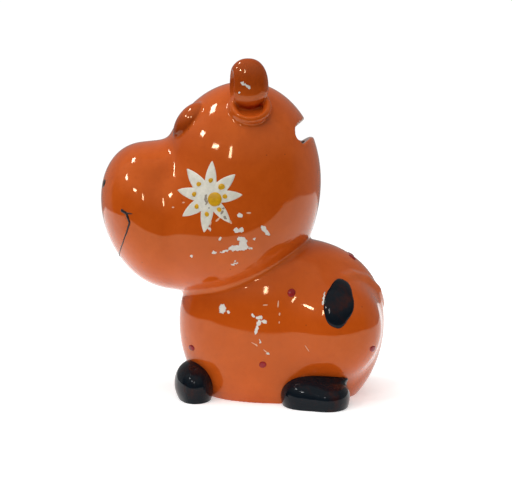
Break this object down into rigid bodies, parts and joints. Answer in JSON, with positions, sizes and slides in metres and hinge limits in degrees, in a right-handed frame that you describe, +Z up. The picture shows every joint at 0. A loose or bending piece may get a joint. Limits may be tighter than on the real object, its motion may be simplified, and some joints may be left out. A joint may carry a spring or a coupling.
{
  "type": "figural animal coin bank",
  "caption": "Sitting calf coin bank in hollow glazed ceramic, with a coin slot in the back of its head and a rubber stopper in its base.",
  "frame": {"origin": "middle of the footprint's box, on the surface that it stands on", "axes": "+Z up, the calf faces -Y, its left side is +X"},
  "size_m": [0.0762, 0.1192, 0.1402],
  "materials": {
    "orange_glaze": "glossy orange glaze over white earthenware, chipped to the white body in places",
    "black_glaze": "glossy black glaze",
    "white_enamel": "satin white enamel, raised",
    "yellow_enamel": "glossy ochre enamel, raised",
    "black_enamel": "glossy black enamel line",
    "red_enamel": "glossy red enamel, raised",
    "white_rubber": "matt off-white rubber"
  },
  "bodies": {
    "figure": {"body_casting": "orange_glaze", "head_casting": "orange_glaze", "left_ear": "orange_glaze", "right_ear": "orange_glaze", "left_eye": "orange_glaze", "right_eye": "orange_glaze", "left_front_hoof": "black_glaze", "right_front_hoof": "black_glaze", "left_hind_hoof": "black_glaze", "right_hind_hoof": "black_glaze", "tail": "orange_glaze", "tail_tuft": "black_glaze", "left_daisy": "white_enamel", "right_daisy": "white_enamel", "left_daisy_dots": "yellow_enamel", "right_daisy_dots": "yellow_enamel", "nostrils": "black_enamel", "smile": "black_enamel", "left_red_spots": "red_enamel", "right_red_spots": "red_enamel"},
    "stopper": {"stopper": "white_rubber"}
  },
  "joints": [
    {"name": "stopper_pull", "type": "slide", "parent": "figure", "child": "stopper", "axis": [0, 0, -1], "range_m": [0, 0.014]}
  ]
}
